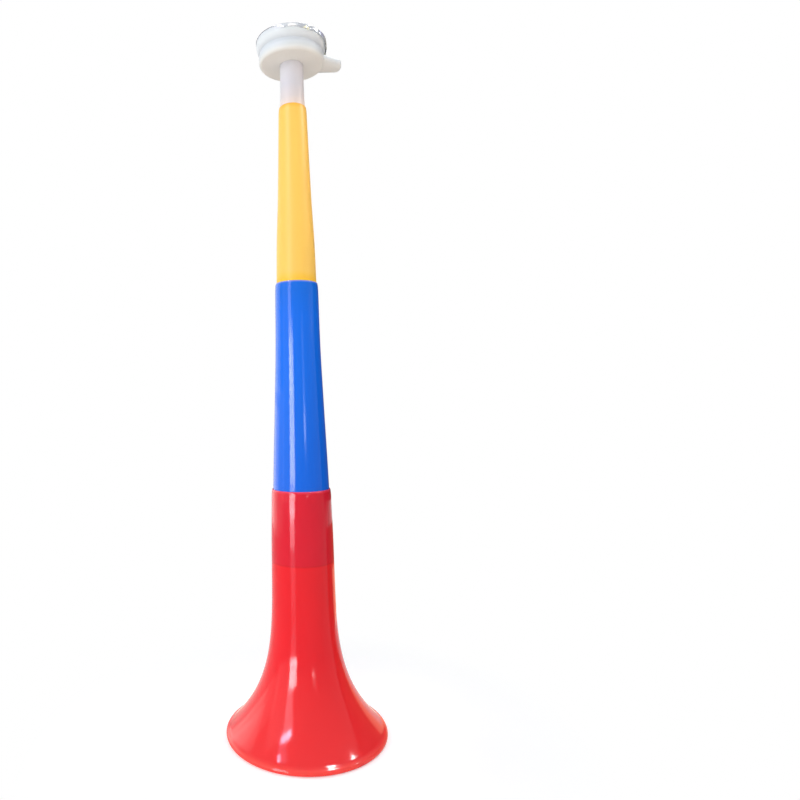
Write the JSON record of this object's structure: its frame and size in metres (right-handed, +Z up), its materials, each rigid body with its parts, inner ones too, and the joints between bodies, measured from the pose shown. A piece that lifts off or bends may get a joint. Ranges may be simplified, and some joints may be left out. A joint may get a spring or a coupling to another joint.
{
  "type": "plastic stadium horn",
  "caption": "Telescoping plastic horn standing on its flared bell, with tapered tubes that jam into each other and a flat membrane head with a side mouthpiece.",
  "frame": {"origin": "centre of the bell's rim, on the surface that the horn stands on", "axes": "+Z up along the horn's axis, from the bell to the drum head; +X along the mouthpiece"},
  "size_m": [0.1, 0.1, 0.47],
  "materials": {
    "red_plastic": "glossy, slightly translucent",
    "blue_plastic": "glossy",
    "yellow_plastic": "glossy, slightly translucent",
    "milky_plastic": "satin, translucent",
    "ivory_plastic": "satin",
    "white_plastic": "glossy",
    "clear_film": "shiny thin film"
  },
  "bodies": {
    "bell": {"bell_section": "red_plastic"},
    "middle": {"middle_section": "blue_plastic"},
    "upper": {"upper_section": "yellow_plastic"},
    "stem": {"stem_tube": "milky_plastic"},
    "head": {"drum_body": "ivory_plastic", "retaining_ring": "white_plastic", "membrane_film": "clear_film"}
  },
  "joints": [
    {"name": "middle_slide", "type": "slide", "parent": "bell", "child": "middle", "axis": [0, 0, 1], "range_m": [-0.1, 0]},
    {"name": "upper_slide", "type": "slide", "parent": "middle", "child": "upper", "axis": [0, 0, 1], "range_m": [-0.132, 0]},
    {"name": "stem_slide", "type": "slide", "parent": "upper", "child": "stem", "axis": [0, 0, 1], "range_m": [-0.0335, 0]},
    {"name": "head_swivel", "type": "hinge", "parent": "stem", "child": "head", "pos_m": [0, 0, 0.4505], "axis": [0, 0, 1], "continuous": true}
  ]
}
